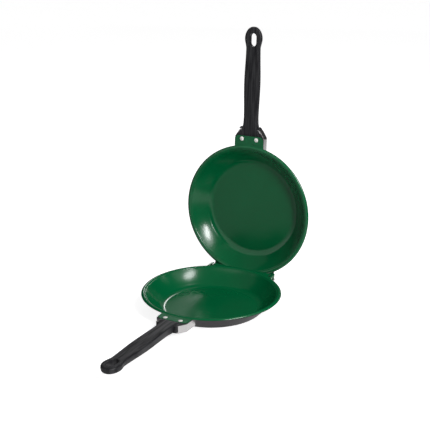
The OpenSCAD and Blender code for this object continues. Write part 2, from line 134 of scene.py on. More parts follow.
class HandleSizes(PropertyGroup):
    top: length("Top", "Height of the grip's top above the base", 24)
    thick: length("Thickness", "Thickness of the grip", 12)
    taper: angle("Taper", "Slope of the grip's underside, which thins it towards the loop", 1.6)
    seam_taper: angle("Seam taper", "Slope of the mould seam", 1.2)
    root_half: length("Root", "Half width behind the collar", 9.7)
    mid_half: length("Middle", "Half width at the widest place of the grip", 11.1)
    neck_half: length("Neck", "Half width before the loop", 9.8)
    loop_half: length("Loop", "Half width of the loop", 12.3)
    tip: from_axis("Tip", "the tip of the loop", 258.5)
    loop_wide: from_axis("Loop place", "the loop's widest place", 242.5)
    hole_half: length("Hole width", "Half width of the hanging hole", 5.3)
    hole_mid: from_axis("Hole place", "the middle of the hole", 240.8)
    hole_run: length("Hole run", "Half length of the hole's straight sides", 3.8)
    collar_front: from_axis("Collar place", "the collar's face", 118.2)
    collar_t: length("Collar thickness", "Thickness of the collar", 2.8)
    collar_half: length("Collar width", "Half width of the collar", 16.2)
    collar_low: length("Collar depth", "From the bead's top to the collar's lower edge", 11.8)
    flare_half: length("Flare width", "Half width of the raised face at the tab", 15.6)
    flare_t: length("Flare thickness", "Thickness of the flared top", 2)
    strap_top: length("Strap top", "Height of the strap's upper edge", 22.3)
    strap_h: length("Strap height", "Height of the strap, which stands on edge", 10.5)
    strap_t: length("Strap thickness", "Thickness of the strap", 1.5)
    strap_half: length("Strap width", "Half width over the strap's legs", 22.3)
    strap_flat: length("Strap flat", "Half width of the strap's middle", 14.5)
    strap_turn: from_axis("Strap turn", "the legs' bend", 106.5)
    screw_z: length("Screw height", "Height of the handle screw", 16.4)
    screw_r: length("Screw radius", "Radius of the handle screw", 2)
    head_r: length("Screw head", "Radius of the screw head", 3.5)
    head_h: length("Head height", "Height of the screw head", 2.5)
    washer_t: length("Washer", "Thickness of the spring washer", 1)


class HingeSizes(PropertyGroup):
    rod_y: from_axis("Rod place", "the hinge rod", 90.8)
    rod_z: length("Rod height", "Height of the hinge rod", 17)
    rod_r: length("Rod radius", "Radius of the hinge rod", 1.5)
    eye_r: length("Eye radius", "Radius of the ears around the rod", 4)
    outer: length("Outer ears", "Half width over the lower pan's ears", 50.5)
    ear_t: length("Ear thickness", "Thickness of the ears", 1.6)
    inner: length("Inner ears", "Half width over the upper pan's ears", 47.1)
    gap: length("Ear gap", "Side gap beside the upper ears", 0.3)
    notch_front: from_axis("Notch", "the end of the notches", 83.9)
    tab_end: from_axis("Tab end", "the lower tab's end", 95.2)
    ear_end: from_axis("Ear end", "the lower ears' end", 98.8)
    upper_end: from_axis("Upper end", "the upper tab's end", 96.8)
    upper_front: from_axis("Upper front", "the upper ears' front", 84.5)
    stop_r: length("Stop radius", "Distance of the stop tongue from the rod", 7.9)
    stop_low: length("Stop depth", "Depth of the tongue below the rod", 5)
    stop_half: length("Stop width", "Half width of the tongue", 22)
    close_gap: length("Closed gap", "Gap between the beads when closed", 0.8)
    cap_r: length("Cap radius", "Radius of the caps on the rod", 3)
    cap_t: length("Cap length", "Length of the caps", 2.4)
    opened: angle("Opened", "Opening angle of the upper pan", 93.2)


class FinishColours(PropertyGroup):
    green: tint("Green", "The ceramic coating inside the pans", "005C34")
    outside: tint("Outside", "The heat-proof coat outside the pans", "2A292C")
    grip: tint("Grip", "The phenolic handles", "242427")
    plated: tint("Plated steel", "Strap, screw and hinge rod", "CFCDCD")
    black: tint("Black steel", "The saddle plates", "1A1A1B")
    rivet: tint("Rivets", "The aluminium rivets", "EFEDEA")
    brass: tint("Brass", "The threaded inserts", "B5934F")
    floor: tint("Floor", "The studio floor", "F4F4F4")


def pan():
    return bpy.context.scene.flip_pan_sizes


def handle():
    return bpy.context.scene.flip_pan_handle


def hinge():
    return bpy.context.scene.flip_pan_hinge


def colours():
    return bpy.context.scene.flip_pan_colours


# ---- flat outlines

def arc(cx, cy, radius, start, end, steps):
    """Points along an arc given in degrees."""
    turns = [radians(start + (end - start) * i / steps) for i in range(steps + 1)]
    return [(cx + radius * cos(t), cy + radius * sin(t)) for t in turns]


def both_sides(points):
    """A closed outline from its right half, which runs from back to front."""
    return points + [(-x, y) for x, y in reversed(points)]


def ease(y0, w0, y1, w1, steps=10):
    """Half widths between two stations, flat at both ends."""
    out = []
    for i in range(1, steps + 1):
        t = i / steps
        out.append((w0 + (w1 - w0) * (1 - cos(pi * t)) / 2, y0 + (y1 - y0) * t))
    return out


def at_height(points, z):
    return [(x, y, z) for x, y in points]


# ---- modelling by hand, in code

def clear_selection():
    bpy.ops.object.select_all(action="DESELECT")


def activate(obj):
    clear_selection()
    obj.select_set(True)
    bpy.context.view_layer.objects.active = obj


def enter(obj):
    activate(obj)
    bpy.ops.object.mode_set(mode="EDIT")


def leave():
    bpy.ops.object.mode_set(mode="OBJECT")


def extrude(by):
    bpy.ops.mesh.extrude_region_move(TRANSFORM_OT_translate={"value": by})


def select_all():
    bpy.ops.mesh.select_all(action="SELECT")


def pick(kind, test):
    """Selects the vertices, edges or faces that pass the test, and says how many."""
    bpy.ops.mesh.select_mode(type=kind)
    bpy.ops.mesh.select_all(action="DESELECT")
    mesh = bmesh.from_edit_mesh(bpy.context.edit_object.data)
    items = {"VERT": mesh.verts, "EDGE": mesh.edges, "FACE": mesh.faces}[kind]
    found = [item for item in items if test(item)]
    for item in found:
        item.select_set(True)
    mesh.select_flush_mode()
    bmesh.update_edit_mesh(bpy.context.edit_object.data)
    return len(found)


def sharp(edge, limit=30):
    return len(edge.link_faces) == 2 and edge.calc_face_angle(0) > radians(limit)


def steep(edge, rise):
    """Whether the edge's ends differ in height by more than the rise."""
    return abs(edge.verts[0].co.z - edge.verts[1].co.z) > rise


def chain(name, points):
    """A line of vertices: one point, extruded from place to place. Left in edit mode."""
    clear_selection()
    bpy.ops.mesh.primitive_plane_add(size=0.01, location=(0, 0, 0))
    obj = bpy.context.active_object
    obj.name = name
    obj.data.name = name
    bpy.ops.object.mode_set(mode="EDIT")
    bpy.ops.mesh.select_mode(type="VERT")
    select_all()
    bpy.ops.mesh.merge(type="CENTER")
    bpy.ops.transform.translate(value=points[0])
    for before, after in zip(points, points[1:]):
        step = Vector(after) - Vector(before)
        extrude(step)
    return obj


def outward():
    select_all()
    bpy.ops.mesh.remove_doubles(threshold=0.000002)
    bpy.ops.mesh.normals_make_consistent(inside=False)


def slab(name, outline, depth):
    """A flat closed outline filled and extruded by a vector."""
    obj = chain(name, outline)
    select_all()
    bpy.ops.mesh.edge_face_add()
    extrude(depth)
    outward()
    leave()
    return obj


def turned(name, profile, steps, sweep=TURN):
    """A profile of radius and height spun about Z."""
    obj = chain(name, [(r, 0, z) for r, z in profile])
    select_all()
    bpy.ops.mesh.spin(steps=steps, angle=sweep, center=(0, 0, 0), axis=(0, 0, 1))
    outward()
    leave()
    return obj


def soften(obj, width, steps=2, test=sharp):
    """Rounds the edges that pass the test."""
    enter(obj)
    if pick("EDGE", test):
        bpy.ops.mesh.bevel(offset=width, segments=steps, profile=0.5, affect="EDGES",
                           clamp_overlap=True)
    leave()
    return obj


def combine(obj, other, operation):
    """Unites two solids or cuts one with the other, which is used up."""
    activate(obj)
    tool = obj.modifiers.new(operation, "BOOLEAN")
    tool.operation = operation
    tool.solver = "EXACT"
    tool.object = other
    bpy.ops.object.modifier_apply(modifier=tool.name)
    bpy.data.objects.remove(other)
    return obj


def moved(obj, matrix):
    """Puts the place into the mesh, so the object stays at the origin."""
    obj.data.transform(matrix)
    obj.data.update()
    return obj


def at(x, y, z):
    return Matrix.Translation((x, y, z))


def drill(obj, radius, depth, place):
    """Cuts a round hole that starts at the place and runs along its Z axis."""
    profile = [(0, 0), (radius, 0), (radius, depth), (0, depth)]
    return combine(obj, moved(turned("drill", profile, HOLE_STEPS), place), "DIFFERENCE")


def rivet_holes(obj, s, low, depth):
    """Cuts the holes of both rivets from a level upwards."""
    for side in (-1, 1):
        drill(obj, RIVET_HOLE_R, depth, at(side * s.rivet_x, -s.rivet_y, low))


def joined(obj, other):
    """Two bodies of one piece, kept as one object."""
    activate(obj)
    other.select_set(True)
    bpy.ops.object.join()
    return obj


def link(obj):
    bpy.context.scene.collection.objects.link(obj)


def twin(obj, name, matrix):
    """A copy with its own mesh, set at another place."""
    other = obj.copy()
    other.data = obj.data.copy()
    other.name = name
    other.data.name = name
    link(other)
    return moved(other, matrix)


def lid_place():
    """From the pan's own frame to the opened lid. Every handle part is alike left and right,
    so half a turn about Y turns it over."""
    s, h = pan(), hinge()
    over = at(0, 0, 2 * s.height + h.close_gap) @ Matrix.Rotation(pi, 4, "Y")
    rod = Vector((0, h.rod_y, h.rod_z))
    return (Matrix.Translation(rod) @ Matrix.Rotation(-h.opened, 4, "X")
            @ Matrix.Translation(-rod) @ over)


def shade(obj, limit=35):
    activate(obj)
    bpy.ops.object.shade_smooth_by_angle(angle=radians(limit))
    even = obj.modifiers.new("even", "WEIGHTED_NORMAL")
    even.keep_sharp = True
    bpy.ops.object.modifier_apply(modifier=even.name)


def dress(obj, half, slot):
    """Gives a finished piece its shading, its slot's finish and its body, and hides the CAD node
    that it stands for, which its name begins with."""
    shade(obj)
    obj.data.materials.clear()
    obj.data.materials.append(finish(slot))
    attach(obj, BODIES[half])
    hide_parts(obj.name.removesuffix("_form"))


def dress_pair(obj, piece, slot):
    """Places a handle part on the lower pan and its twin on the lid."""
    obj.name = "lower_" + piece + "_form"
    other = twin(obj, "upper_" + piece + "_form", lid_place())
    dress(obj, "lower", slot)
    dress(other, "upper", slot)


# ---- materials

def plug(tree, made, **links):
    """Sets a node's inputs, by name or as i0, i1 by place, and links sockets into them."""
    for key, value in links.items():
        socket = made.inputs[int(key[1:]) if key[1:].isdigit() else key.replace("_", " ")]
        if isinstance(value, NodeSocket):
            tree.links.new(value, socket)
        else:
            socket.default_value = value
    return made


def node(tree, kind, settings=None, **links):
    """Adds a shader node with its properties, inputs and links."""
    made = tree.nodes.new(kind)
    for key, value in (settings or {}).items():
        setattr(made, key, value)
    return plug(tree, made, **links)


def surface(name):
    """A new node material: its tree, its shader and Object coordinates."""
    material = bpy.data.materials.new(name)
    material.use_nodes = True
    tree = material.node_tree
    place = node(tree, "ShaderNodeTexCoord").outputs["Object"]
    return material, tree, tree.nodes["Principled BSDF"], place


def noise(tree, place, size_mm, detail=2):
    """Noise whose features have that size."""
    return node(tree, "ShaderNodeTexNoise", None, Vector=place, Scale=1 / (size_mm * MM),
                Detail=detail).outputs["Fac"]


def stretched(tree, place, along):
    return node(tree, "ShaderNodeMapping", None, Vector=place, Scale=along).outputs["Vector"]


def ramp(tree, value, low, high, at_low=0.35, at_high=0.65, smooth="LINEAR"):
    """Maps a value onto a range of numbers. The limits suit a noise."""
    return node(tree, "ShaderNodeMapRange", {"interpolation_type": smooth}, Value=value,
                From_Min=at_low, From_Max=at_high, To_Min=low, To_Max=high).outputs["Result"]


def shades(tree, value, colour, dark, light):
    """Mixes two shares of a colour by a value from 0 to 1."""
    low, high = ((*(c * share for c in colour), 1) for share in (dark, light))
    return node(tree, "ShaderNodeMix", {"data_type": "RGBA"}, i0=value, i6=low,
                i7=high).outputs[2]


def relief(tree, height, strength, depth_mm):
    return node(tree, "ShaderNodeBump", None, Strength=strength, Distance=depth_mm * MM,
                Height=height).outputs["Normal"]


def glow(tree, level):
    """A white surface that shines at the level by itself."""
    return node(tree, "ShaderNodeEmission", None, Color=(1, 1, 1, 1), Strength=level).outputs[0]


def sums(tree, operation, first, second):
    return node(tree, "ShaderNodeMath", {"operation": operation}, i0=first,
                i1=second).outputs[0]


def show(tree, shader_socket):
    tree.links.new(shader_socket, tree.nodes["Material Output"].inputs["Surface"])


def ceramic_coating(name):
    """Sol-gel ceramic coating, sprayed on pressed aluminium and cured. It gives the eye a deep
    green with a satin gloss and a very slight cloudiness."""
    material, tree, shader, place = surface(name)
    cloud = noise(tree, place, 40, 3)
    plug(tree, shader, Base_Color=shades(tree, cloud, colours().green, 0.93, 1.07),
         Roughness=ramp(tree, cloud, 0.15, 0.2), Specular_IOR_Level=0.4)
    return material


def outside_coat(name):
    """Silicone heat-proof paint on the pressed aluminium. It gives the eye a dark satin grey
    with a fine grain."""
    material, tree, shader, place = surface(name)
    cloud, grain = noise(tree, place, 30), noise(tree, place, 0.9)
    plug(tree, shader, Base_Color=shades(tree, cloud, colours().outside, 0.85, 1.12),
         Roughness=ramp(tree, grain, 0.34, 0.46), Normal=relief(tree, grain, 0.15, 0.02),
         Specular_IOR_Level=0.08)
    return material


def phenolic(name):
    """Compression-moulded phenolic. It gives the eye a near-black satin surface with the fine
    lengthwise flow lines of the moulding, in its shade and in its gloss."""
    material, tree, shader, place = surface(name)
    lines = noise(tree, stretched(tree, place, (1, 0.06, 0.06)), 2.4)
    grain = noise(tree, place, 0.6)
    plug(tree, shader, Base_Color=shades(tree, lines, colours().grip, 0.4, 1.3),
         Roughness=ramp(tree, grain, 0.36, 0.44), Normal=relief(tree, grain, 0.2, 0.03),
         Specular_IOR_Level=ramp(tree, lines, 0.05, 0.4))
    return material


def black_enamel(name):
    """Stoved black enamel on pressed steel. It gives the eye an even black with a soft gloss."""
    material, tree, shader, place = surface(name)
    cloud = noise(tree, place, 3)
    plug(tree, shader, Base_Color=shades(tree, cloud, colours().black, 0.8, 1.2),
         Roughness=ramp(tree, cloud, 0.3, 0.4))
    return material


def metal(name, colour, roughness, grain_mm, depth_mm, along=(1, 1, 1), bare=1):
    """A metal with a fine grain in its gloss. along stretches the grain along an axis; bare is
    the share that no oxide dulls."""
    material, tree, shader, place = surface(name)
    grain = noise(tree, stretched(tree, place, along), grain_mm)
    plug(tree, shader, Base_Color=shades(tree, grain, colour, 0.93, 1),
         Roughness=ramp(tree, grain, roughness * 0.8, roughness * 1.2),
         Normal=relief(tree, grain, 0.1, depth_mm), Metallic=bare)
    return material


def nickel_plate(name):
    """Nickel plate on steel strip. It gives the eye a bright, slightly warm mirror, softened
    by brush marks across the strip."""
    return metal(name, colours().plated, 0.2, 0.35, 0.02, along=(1, 1, 0.05))


def tumbled_aluminium(name):
    """Aluminium rivets as they come from the tumbler. It gives the eye a pale, dull white."""
    return metal(name, colours().rivet, 0.6, 0.5, 0.03, bare=0.25)


def turned_brass(name):
    """Brass as it comes from the lathe. It gives the eye a plain yellow with a soft gloss."""
    return metal(name, colours().brass, 0.3, 0.3, 0.02)


FINISHES = {
    "green_coating": ("ceramic coating, green", ceramic_coating),
    "pan_outside": ("heat-proof coat, dark grey", outside_coat),
    "phenolic": ("moulded phenolic, black", phenolic),
    "black_steel": ("stoved enamel, black", black_enamel),
    "bright_steel": ("nickel-plated steel", nickel_plate),
    "rivet_aluminium": ("tumbled aluminium", tumbled_aluminium),
    "brass": ("turned brass", turned_brass),
}


def finish(slot):
    """The one material of a slot, made when it is first needed."""
    name, make = FINISHES[slot]
    return bpy.data.materials.get(name) or make(name)


# ---- pan section

def wall_angle(s):
    """Slope of the straight wall, in degrees, between the floor's and the lip's rounding."""
    run = s.rim_r - s.bead_w - s.floor_r
    rise = s.height - s.bead_h - s.lip_round - s.wall_t - s.floor_round
    return degrees(atan2(rise, run)
                        + asin((s.floor_round + s.lip_round) / hypot(run, rise)))


def hollow_wall(s, slope, start, end, stations=12):
    """The wall between the floor's and the lip's rounding, which is a little hollow."""
    (x0, z0), (x1, z1) = start, end
    out_x, out_z = sin(radians(slope)), -cos(radians(slope))
    points = []
    for i in range(1, stations):
        share = i / stations
        sink = s.wall_bow * 4 * share * (1 - share)
        points.append((x0 + (x1 - x0) * share + out_x * sink,
                       z0 + (z1 - z0) * share + out_z * sink))
    return points


def cooking_side(s, depth, low):
    """The pan's inner face from the axis to the outer edge, moved into the sheet by depth."""
    slope = wall_angle(s)
    flat_r = s.floor_r - (s.inner_round - s.floor_round) * tan(radians(slope / 2))
    foot = s.height - s.bead_h
    crown_r = (s.bead_w ** 2 / 4 + s.bead_h ** 2) / (2 * s.bead_h)
    sweep = degrees(asin(s.bead_w / 2 / crown_r))
    floor = arc(flat_r, s.wall_t + s.inner_round, s.inner_round + depth, -90, slope - 90, 16)
    lip = arc(s.rim_r - s.bead_w, foot - s.lip_round, s.lip_round - depth, 90 + slope, 90, 6)
    wall = hollow_wall(s, slope, floor[-1], lip[0])
    # the edge's rounding runs on from the bead's crown without a corner
    reach = crown_r - s.edge_round
    meet = acos((s.bead_w / 2 - s.edge_round) / reach)
    bead = arc(s.rim_r - s.bead_w / 2, s.height - crown_r, crown_r - depth,
               90 + sweep, degrees(meet), 14)
    edge_z = s.height - crown_r + reach * sin(meet)
    stop = degrees(asin(min(max((low - edge_z) / (s.edge_round - depth), 0), 1)))
    edge = arc(s.rim_r - s.edge_round, edge_z, s.edge_round - depth, degrees(meet), stop, 8)
    return [(0, s.wall_t - depth)] + floor + wall + lip + bead + edge[1:]


def green_edge(s):
    """Height of the lower edge of the green coating on the outside of the bead."""
    return s.height - s.bead_h - s.edge_h + s.bare_h


def outer_wall(s, top):
    """The outer face from the axis to a height on the wall."""
    slope = radians(wall_angle(s))
    reach = s.floor_round + s.wall_t
    turn = arc(s.floor_r, s.wall_t + s.floor_round, reach, -90, degrees(slope) - 90, 14)
    foot_x, foot_z = turn[-1]
    return [(0, 0)] + turn + [(foot_x + (top - foot_z) / tan(slope), top)]


def shell_profile(s):
    """The sheet's closed section, with a flat underside of the rim and a hollow behind it."""
    low, edge = s.height - s.bead_h - s.edge_h, green_edge(s)
    wall = outer_wall(s, low - 1.2 * MM)
    x = wall[-1][0]
    rim = [(s.rim_r, edge), (s.rim_r, low + SHEET_ROUND), (s.rim_r - SHEET_ROUND, low),
           (x + 2.6 * MM, low), (x + 1.2 * MM, low - 0.25 * MM)]
    return cooking_side(s, s.skin_t, edge) + rim + wall[::-1]


def handle_tab(s):
    return both_sides([
        (s.tab_half, -(s.rim_r - HANDLE_TAB_ROOT)), (s.tab_half, -(s.tab_end - s.tab_clip)),
        (s.tab_half - s.tab_clip, -s.tab_end)])


def lower_hinge_tab(s, h):
    inner, outer = h.inner - h.ear_t - h.gap, h.inner + h.gap
    return both_sides([
        (h.outer, s.rim_r - HINGE_TAB_ROOT), (h.outer, h.ear_end - EAR_CLIP),
        (h.outer - EAR_CLIP, h.ear_end), (outer, h.ear_end), (outer, h.notch_front),
        (inner, h.notch_front), (inner, h.tab_end)])


def upper_hinge_tab(s, h, half):
    return both_sides([(half, s.rim_r - HINGE_TAB_ROOT), (half, h.upper_end)])


def tab_plate(outline, low, high, root_r, top_round):
    """One layer of a tab, cut away inside the rim. A rounding below 0 is on the underside."""
    plate = slab("tab", at_height(outline, low), (0, 0, high - low))
    soften(plate, TAB_CORNER, 3, lambda e: sharp(e) and steep(e, MM / 10))
    level = high if top_round > 0 else low
    soften(plate, abs(top_round), 2,
           lambda e: sharp(e) and all(abs(v.co.z - level) < NEAR / 10 for v in e.verts))
    core = [(0, low - MM), (root_r, low - MM), (root_r, high + MM), (0, high + MM)]
    return combine(plate, turned("core", core, PAN_STEPS), "DIFFERENCE")


def ear(x, y0, y1, root_z, eye_z, h, thick, rounding):
    """A turned ear with its eye round the rod, standing in the plane X = x."""
    eye = arc(h.rod_y, eye_z, h.eye_r, 180 if eye_z > root_z else -180, 0, 16)
    outline = [(x, y0, root_z)] + [(x, y, z) for y, z in eye] + [(x, y1, root_z)]
    plate = slab("ear", outline, (thick, 0, 0))
    soften(plate, rounding)
    return drill(plate, h.rod_r + ROD_PLAY, 5 * MM, at(x - MM, h.rod_y, eye_z) @ ALONG_X)


def stop_tongue(s, h):
    """The tongue that turns down behind the lower tab and stops the lid."""
    rise = s.height - s.tab_drop - s.skin_t - h.rod_z
    start = degrees(asin(rise / h.stop_r))
    thick = s.tab_t - s.skin_t
    low = h.rod_z - h.stop_low
    out = [(h.tab_end - MM, h.rod_z + rise)] + arc(h.rod_y, h.rod_z, h.stop_r, start, 0, 10)
    out += [(h.rod_y + h.stop_r, low)]
    # the inner bend starts 8 degrees lower, where the tongue has left the tab
    back = [(h.rod_y + h.stop_r - thick, low)]
    back += arc(h.rod_y, h.rod_z, h.stop_r - thick, 0, start - 8, 10)
    back += [(h.tab_end - MM, h.rod_z + rise - thick)]
    tongue = slab("tongue", [(-h.stop_half, y, z) for y, z in out + back],
                  (2 * h.stop_half, 0, 0))
    return soften(tongue, SHEET_ROUND)


class OBJECT_OT_flip_pan_shells(Operator):
    """Pressed aluminium shells with their tabs and hinge ears"""
    bl_idname = "object.flip_pan_shells"
    bl_label = "Pan shells"

    def execute(self, context):
        s, h = pan(), hinge()
        top = s.height - s.tab_drop - s.skin_t
        low = s.height - s.tab_drop - s.tab_t
        root_r = s.rim_r - 1.5 * MM
        sunk = 0.8 * MM         # how deep the ears' roots reach into their tab
        hinge_tabs = {"lower": lower_hinge_tab(s, h), "upper": upper_hinge_tab(s, h, h.inner)}
        for half, hinge_tab in hinge_tabs.items():
            shell = turned(half + "_pan_form", shell_profile(s), PAN_STEPS)
            for outline in (handle_tab(s), hinge_tab):
                combine(shell, tab_plate(outline, low, top, root_r, -SHEET_ROUND), "UNION")
            if half == "lower":
                combine(shell, stop_tongue(s, h), "UNION")
                thick, x, eye_z, root_z = h.ear_t - s.skin_t, h.outer, h.rod_z, low + sunk
                y0, y1 = h.notch_front, h.ear_end - EAR_CLIP
            else:
                thick, x, root_z = h.ear_t, h.inner, top - sunk
                y0, y1, eye_z = h.upper_front, h.upper_end, 2 * s.height + h.close_gap - h.rod_z
            for side_x in (x - h.ear_t, -(x - h.ear_t) - thick):
                combine(shell, ear(side_x, y0, y1, root_z, eye_z, h, thick, SHEET_ROUND),
                        "UNION")
            rivet_holes(shell, s, low - MM, 4 * MM)
            if half == "upper":
                moved(shell, lid_place())
            dress(shell, half, "pan_outside")
        return {"FINISHED"}


def crease(s, top):
    """Cutter for the pressed line across the handle tab, just outside the bead."""
    middle, half, depth, reach_x = s.rim_r + 1.8 * MM, 0.45 * MM, 0.25 * MM, 17 * MM
    spread = degrees(asin(reach_x / middle))
    outline = arc(0, 0, middle + half, -90 - spread, -90 + spread, 16)
    outline += arc(0, 0, middle - half, -90 + spread, -90 - spread, 16)
    return slab("crease", at_height(outline, top - depth), (0, 0, MM))


class OBJECT_OT_flip_pan_linings(Operator):
    """Green ceramic coating over floor, wall, bead and tabs"""
    bl_idname = "object.flip_pan_linings"
    bl_label = "Green linings"

    def execute(self, context):
        s, h = pan(), hinge()
        edge, top = green_edge(s), s.height - s.tab_drop
        profile = cooking_side(s, 0, edge) + cooking_side(s, s.skin_t, edge)[::-1]
        hinge_tabs = {"lower": lower_hinge_tab(s, h),
                      "upper": upper_hinge_tab(s, h, h.inner - h.ear_t)}
        for half, hinge_tab in hinge_tabs.items():
            lining = turned(half + "_lining_form", profile, PAN_STEPS)
            for outline in (handle_tab(s), hinge_tab):
                combine(lining, tab_plate(outline, top - s.skin_t, top, s.rim_r - 0.45 * MM,
                                          0.2 * MM), "UNION")
            if half == "lower":
                # these ears turn down, so their green side is the outer one
                for x in (h.outer - s.skin_t, -h.outer):
                    combine(lining, ear(x, h.notch_front, h.ear_end - EAR_CLIP, top - 0.2 * MM,
                                        h.rod_z, h, s.skin_t, 0.1 * MM), "UNION")
            combine(lining, crease(s, top), "DIFFERENCE")
            rivet_holes(lining, s, top - 2 * MM, 3 * MM)
            if half == "upper":
                moved(lining, lid_place())
            dress(lining, half, "green_coating")
        return {"FINISHED"}


class OBJECT_OT_flip_pan_rivets(Operator):
    """Two domed aluminium rivets through each handle tab"""
    bl_idname = "object.flip_pan_rivets"
    bl_label = "Tab rivets"

    def execute(self, context):
        s = pan()
        top = s.height - s.tab_drop
        dome_r = (s.rivet_r ** 2 + s.rivet_h ** 2) / (2 * s.rivet_h)
        sweep = degrees(asin(s.rivet_r / dome_r))
        dome = arc(0, top + s.rivet_h - dome_r, dome_r, 90 - sweep, 90, 10)
        shank_r, tail_r, tail = 1.6 * MM, 2.55 * MM, top - 4.2 * MM
        profile = [(0, tail), (2.2 * MM, tail), (tail_r, tail + 0.35 * MM),
                   (tail_r, tail + 0.9 * MM), (shank_r, tail + 0.9 * MM), (shank_r, top),
                   (s.rivet_r - 0.1 * MM, top), (s.rivet_r, top + 0.1 * MM)] + dome[1:]
        first, second = (
            moved(turned("rivet", profile, ROD_STEPS), at(side * s.rivet_x, -s.rivet_y, 0))
            for side in (-1, 1))
        dress_pair(joined(first, second), "tab_rivets", "rivet_aluminium")
        return {"FINISHED"}


class OBJECT_OT_flip_pan_saddles(Operator):
    """Black steel saddle plate under each handle tab"""
    bl_idname = "object.flip_pan_saddles"
    bl_label = "Saddle plates"

    def execute(self, context):
        s, t = pan(), handle()
        play, reach = 0.2 * MM, 10 * MM
        low = t.strap_top - SADDLE_T
        side_x = t.strap_half - t.strap_t - play
        outline = both_sides([
            (side_x, -(t.strap_turn - reach)), (side_x, -(t.strap_turn - t.strap_t)),
            (t.strap_flat - t.strap_t, -(t.collar_front - t.strap_t - play))])
        plate = soften(slab("saddle", at_height(outline, low), (0, 0, SADDLE_T)), SHEET_ROUND)
        rivet_holes(plate, s, low - MM, 4 * MM)
        dress_pair(plate, "saddle", "black_steel")
        return {"FINISHED"}


# ---- handles

def strap_path(t):
    """Centre line of the strap's right half, from the pan's wall to the middle."""
    x = t.strap_half - t.strap_t / 2
    mid_y = -(t.collar_front - t.strap_t / 2)
    corner, flat = Vector((x, -t.strap_turn)), Vector((t.strap_flat, mid_y))
    points = [Vector((x, STRAP_FOOT_Y))]
    for before, p, after in ((points[0], corner, flat), (corner, flat, Vector((0, mid_y)))):
        u, v = (before - p).normalized(), (after - p).normalized()
        half = acos(max(-1, min(1, u.dot(v)))) / 2
        centre = p + (u + v).normalized() * STRAP_BEND / sin(half)
        run = STRAP_BEND / tan(half)
        a, b = p + u * run - centre, p + v * run - centre
        start = degrees(atan2(a.y, a.x))
        swing = (degrees(atan2(b.y, b.x)) - start + 540) % 360 - 180
        points += [Vector(q) for q in arc(centre.x, centre.y, STRAP_BEND, start,
                                          start + swing, 8)]
    return points


def rails(path, thick):
    """Both edges of a strip of that thickness along its centre line, as one closed outline."""
    left, right = [], []
    for i, p in enumerate(path):
        before = (p - path[i - 1]).normalized() if i else (path[1] - p).normalized()
        after = (path[i + 1] - p).normalized() if i + 1 < len(path) else before
        along = (before + after).normalized()
        normal = Vector((-along.y, along.x)) / along.dot(before)
        for rail, side in ((left, 0.5), (right, -0.5)):
            q = p + normal * thick * side
            rail.append((q.x, q.y))
    return left + right[::-1]


class OBJECT_OT_flip_pan_straps(Operator):
    """Bright steel strap on edge, from the pan's wall round the handle's root"""
    bl_idname = "object.flip_pan_straps"
    bl_label = "Steel straps"

    def execute(self, context):
        s, t = pan(), handle()
        right = strap_path(t)
        path = right + [Vector((-p.x, p.y)) for p in reversed(right)]
        outline = at_height(rails(path, t.strap_t), t.strap_top - t.strap_h)
        strap = slab("strap", outline, (0, 0, t.strap_h))
        soften(strap, 0.25 * MM, 2, lambda e: sharp(e, 60))
        core = [(0, -MM)] + outer_wall(s, s.height)[1:] + [(0, s.height)]
        combine(strap, turned("core", core, PAN_STEPS), "DIFFERENCE")
        drill(strap, SCREW_HOLE_R, 5 * MM, at(0, -t.collar_front - 2 * MM, t.screw_z) @ ALONG_Y)
        dress_pair(strap, "strap", "bright_steel")
        return {"FINISHED"}


def grip_half(t):
    """Right half of the grip's outline, from its root to the loop."""
    root, narrow, mid = -(t.collar_front + 0.4 * MM), -133 * MM, -182 * MM
    neck = -(t.loop_wide - 14 * MM)
    # the root widens towards the collar
    side = [(t.root_half + wider * MM, root - back * MM)
            for wider, back in ((2, 0), (1.1, 3), (0.4, 7))]
    side.append((t.root_half, narrow))
    side += ease(narrow, t.root_half, mid, t.mid_half, 12)
    side += ease(mid, t.mid_half, neck, t.neck_half, 12)
    side += ease(neck, t.neck_half, -t.loop_wide, t.loop_half, 12)
    tip, steps = t.tip - t.loop_wide, 14
    for i in range(1, steps):
        a = pi / 2 * i / steps
        side.append((t.loop_half * cos(a), -t.loop_wide - tip * sin(a)))
    return side


def domed(faces, reach, height, steps):
    """Rounds the edge of a flat face by insets that follow a quarter ellipse."""
    pick("FACE", faces)
    for i in range(steps):
        a, b = pi / 2 * i / steps, pi / 2 * (i + 1) / steps
        bpy.ops.mesh.inset(thickness=reach * (cos(a) - cos(b)),
                           depth=height * (sin(b) - sin(a)), use_even_offset=True)


